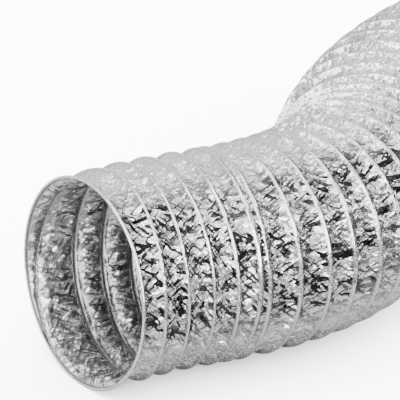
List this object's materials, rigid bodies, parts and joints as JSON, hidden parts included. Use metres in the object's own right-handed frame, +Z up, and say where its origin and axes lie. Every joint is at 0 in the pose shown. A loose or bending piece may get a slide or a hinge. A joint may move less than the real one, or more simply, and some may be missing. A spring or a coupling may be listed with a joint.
{
  "type": "flexible ventilation duct",
  "caption": "Flexible round duct of crinkled aluminium foil on a spring-wire helix, open at both ends; its front run stretches and its elbow bends.",
  "frame": {"origin": "centre of the open mouth, on the duct axis", "axes": "+X into the duct along the mouth axis, +Y to the left, +Z up; the duct lies on a floor below the origin"},
  "size_m": [0.5597, 0.3172, 0.1556],
  "materials": {
    "outer_foil": "bright crinkled foil laminate",
    "inner_foil": "bright crinkled foil laminate",
    "spring_wire": "drawn steel wire"
  },
  "bodies": {
    "turn_01": {"wire_01": "spring_wire", "inner_ply_01": "inner_foil", "outer_ply_01": "outer_foil"},
    "turn_02": {"wire_02": "spring_wire", "inner_ply_02": "inner_foil", "outer_ply_02": "outer_foil"},
    "turn_03": {"wire_03": "spring_wire", "inner_ply_03": "inner_foil", "outer_ply_03": "outer_foil"},
    "turn_04": {"wire_04": "spring_wire", "inner_ply_04": "inner_foil", "outer_ply_04": "outer_foil"},
    "turn_05": {"wire_05": "spring_wire", "inner_ply_05": "inner_foil", "outer_ply_05": "outer_foil"},
    "turn_06": {"wire_06": "spring_wire", "inner_ply_06": "inner_foil", "outer_ply_06": "outer_foil"},
    "turn_07": {"wire_07": "spring_wire", "inner_ply_07": "inner_foil", "outer_ply_07": "outer_foil"},
    "turn_08": {"wire_08": "spring_wire", "inner_ply_08": "inner_foil", "outer_ply_08": "outer_foil"},
    "turn_09": {"wire_09": "spring_wire", "inner_ply_09": "inner_foil", "outer_ply_09": "outer_foil"},
    "turn_10": {"wire_10": "spring_wire", "inner_ply_10": "inner_foil", "outer_ply_10": "outer_foil"},
    "turn_11": {"wire_11": "spring_wire", "inner_ply_11": "inner_foil", "outer_ply_11": "outer_foil"},
    "turn_12": {"wire_12": "spring_wire", "inner_ply_12": "inner_foil", "outer_ply_12": "outer_foil"},
    "turn_13": {"wire_13": "spring_wire", "inner_ply_13": "inner_foil", "outer_ply_13": "outer_foil"},
    "turn_14": {"wire_14": "spring_wire", "inner_ply_14": "inner_foil", "outer_ply_14": "outer_foil"},
    "turn_15": {"wire_15": "spring_wire", "inner_ply_15": "inner_foil", "outer_ply_15": "outer_foil"},
    "turn_16": {"wire_16": "spring_wire", "inner_ply_16": "inner_foil", "outer_ply_16": "outer_foil"},
    "turn_17": {"wire_17": "spring_wire", "inner_ply_17": "inner_foil", "outer_ply_17": "outer_foil"},
    "rear_run": {"wire_rear": "spring_wire", "inner_ply_rear": "inner_foil", "outer_ply_rear": "outer_foil"}
  },
  "joints": [
    {"name": "stretch_01", "type": "slide", "parent": "turn_02", "child": "turn_01", "axis": [-1, 0, 0], "range_m": [-0.01, 0.004], "deforming": ["outer_ply_01", "inner_ply_01"]},
    {"name": "stretch_02", "type": "slide", "parent": "turn_03", "child": "turn_02", "axis": [-0.9981, 0.061, 0], "range_m": [-0.01, 0.004], "deforming": ["outer_ply_02", "inner_ply_02"]},
    {"name": "stretch_03", "type": "slide", "parent": "turn_04", "child": "turn_03", "axis": [-0.9925, 0.1219, 0], "range_m": [-0.01, 0.004], "deforming": ["outer_ply_03", "inner_ply_03"]},
    {"name": "stretch_04", "type": "slide", "parent": "turn_05", "child": "turn_04", "axis": [-0.9833, 0.1822, 0], "range_m": [-0.01, 0.004], "deforming": ["outer_ply_04", "inner_ply_04"]},
    {"name": "stretch_05", "type": "slide", "parent": "turn_06", "child": "turn_05", "axis": [-0.9833, 0.1822, 0], "range_m": [-0.01, 0.004], "deforming": ["outer_ply_05", "inner_ply_05"]},
    {"name": "draw_out_06", "type": "slide", "parent": "turn_07", "child": "turn_06", "axis": [-0.9833, 0.1822, 0], "range_m": [-0.001, 0.013], "deforming": ["outer_ply_06", "inner_ply_06"]},
    {"name": "stretch_07", "type": "slide", "parent": "turn_08", "child": "turn_07", "axis": [-0.9945, 0.1045, 0], "range_m": [-0.01, 0.004], "deforming": ["outer_ply_07", "inner_ply_07"]},
    {"name": "stretch_08", "type": "slide", "parent": "turn_09", "child": "turn_08", "axis": [-0.9997, 0.0262, 0], "range_m": [-0.01, 0.004], "deforming": ["outer_ply_08", "inner_ply_08"]},
    {"name": "stretch_09", "type": "slide", "parent": "turn_10", "child": "turn_09", "axis": [-0.9986, -0.0523, 0], "range_m": [-0.01, 0.004], "deforming": ["outer_ply_09", "inner_ply_09"]},
    {"name": "bend_10", "type": "hinge", "parent": "turn_11", "child": "turn_10", "pos_m": [0.18291, -0.01174, 0], "axis": [0, 0, 1], "range_deg": [-2.5, 11.5], "deforming": ["outer_ply_10", "inner_ply_10"]},
    {"name": "bend_11", "type": "hinge", "parent": "turn_12", "child": "turn_11", "pos_m": [0.19956, -0.00832, 0], "axis": [0, 0, 1], "range_deg": [-2.5, 11.5], "deforming": ["outer_ply_11", "inner_ply_11"]},
    {"name": "bend_12", "type": "hinge", "parent": "turn_13", "child": "turn_12", "pos_m": [0.21577, -0.00325, 0], "axis": [0, 0, 1], "range_deg": [-2.5, 11.5], "deforming": ["outer_ply_12", "inner_ply_12"]},
    {"name": "bend_13", "type": "hinge", "parent": "turn_14", "child": "turn_13", "pos_m": [0.2314, 0.00343, 0], "axis": [0, 0, 1], "range_deg": [-2.5, 11.5], "deforming": ["outer_ply_13", "inner_ply_13"]},
    {"name": "bend_14", "type": "hinge", "parent": "turn_15", "child": "turn_14", "pos_m": [0.24628, 0.01163, 0], "axis": [0, 0, 1], "range_deg": [-2.5, 11.5], "deforming": ["outer_ply_14", "inner_ply_14"]},
    {"name": "bend_15", "type": "hinge", "parent": "turn_16", "child": "turn_15", "pos_m": [0.26027, 0.02129, 0], "axis": [0, 0, 1], "range_deg": [-2.5, 11.5], "deforming": ["outer_ply_15", "inner_ply_15"]},
    {"name": "bend_16", "type": "hinge", "parent": "turn_17", "child": "turn_16", "pos_m": [0.27321, 0.0323, 0], "axis": [0, 0, 1], "range_deg": [-2.5, 11.5], "deforming": ["outer_ply_16", "inner_ply_16"]},
    {"name": "bend_17", "type": "hinge", "parent": "rear_run", "child": "turn_17", "pos_m": [0.28499, 0.04455, 0], "axis": [0, 0, 1], "range_deg": [-2.5, 11.5], "deforming": ["outer_ply_17", "inner_ply_17"]}
  ],
  "couplings": [
    {"joint": "stretch_02", "follows": "stretch_01", "ratio": 1},
    {"joint": "stretch_03", "follows": "stretch_01", "ratio": 1},
    {"joint": "stretch_04", "follows": "stretch_01", "ratio": 1},
    {"joint": "stretch_05", "follows": "stretch_01", "ratio": 1},
    {"joint": "stretch_07", "follows": "stretch_01", "ratio": 1},
    {"joint": "stretch_08", "follows": "stretch_01", "ratio": 1},
    {"joint": "stretch_09", "follows": "stretch_01", "ratio": 1},
    {"joint": "bend_11", "follows": "bend_10", "ratio": 1},
    {"joint": "bend_12", "follows": "bend_10", "ratio": 1},
    {"joint": "bend_13", "follows": "bend_10", "ratio": 1},
    {"joint": "bend_14", "follows": "bend_10", "ratio": 1},
    {"joint": "bend_15", "follows": "bend_10", "ratio": 1},
    {"joint": "bend_16", "follows": "bend_10", "ratio": 1},
    {"joint": "bend_17", "follows": "bend_10", "ratio": 1}
  ]
}
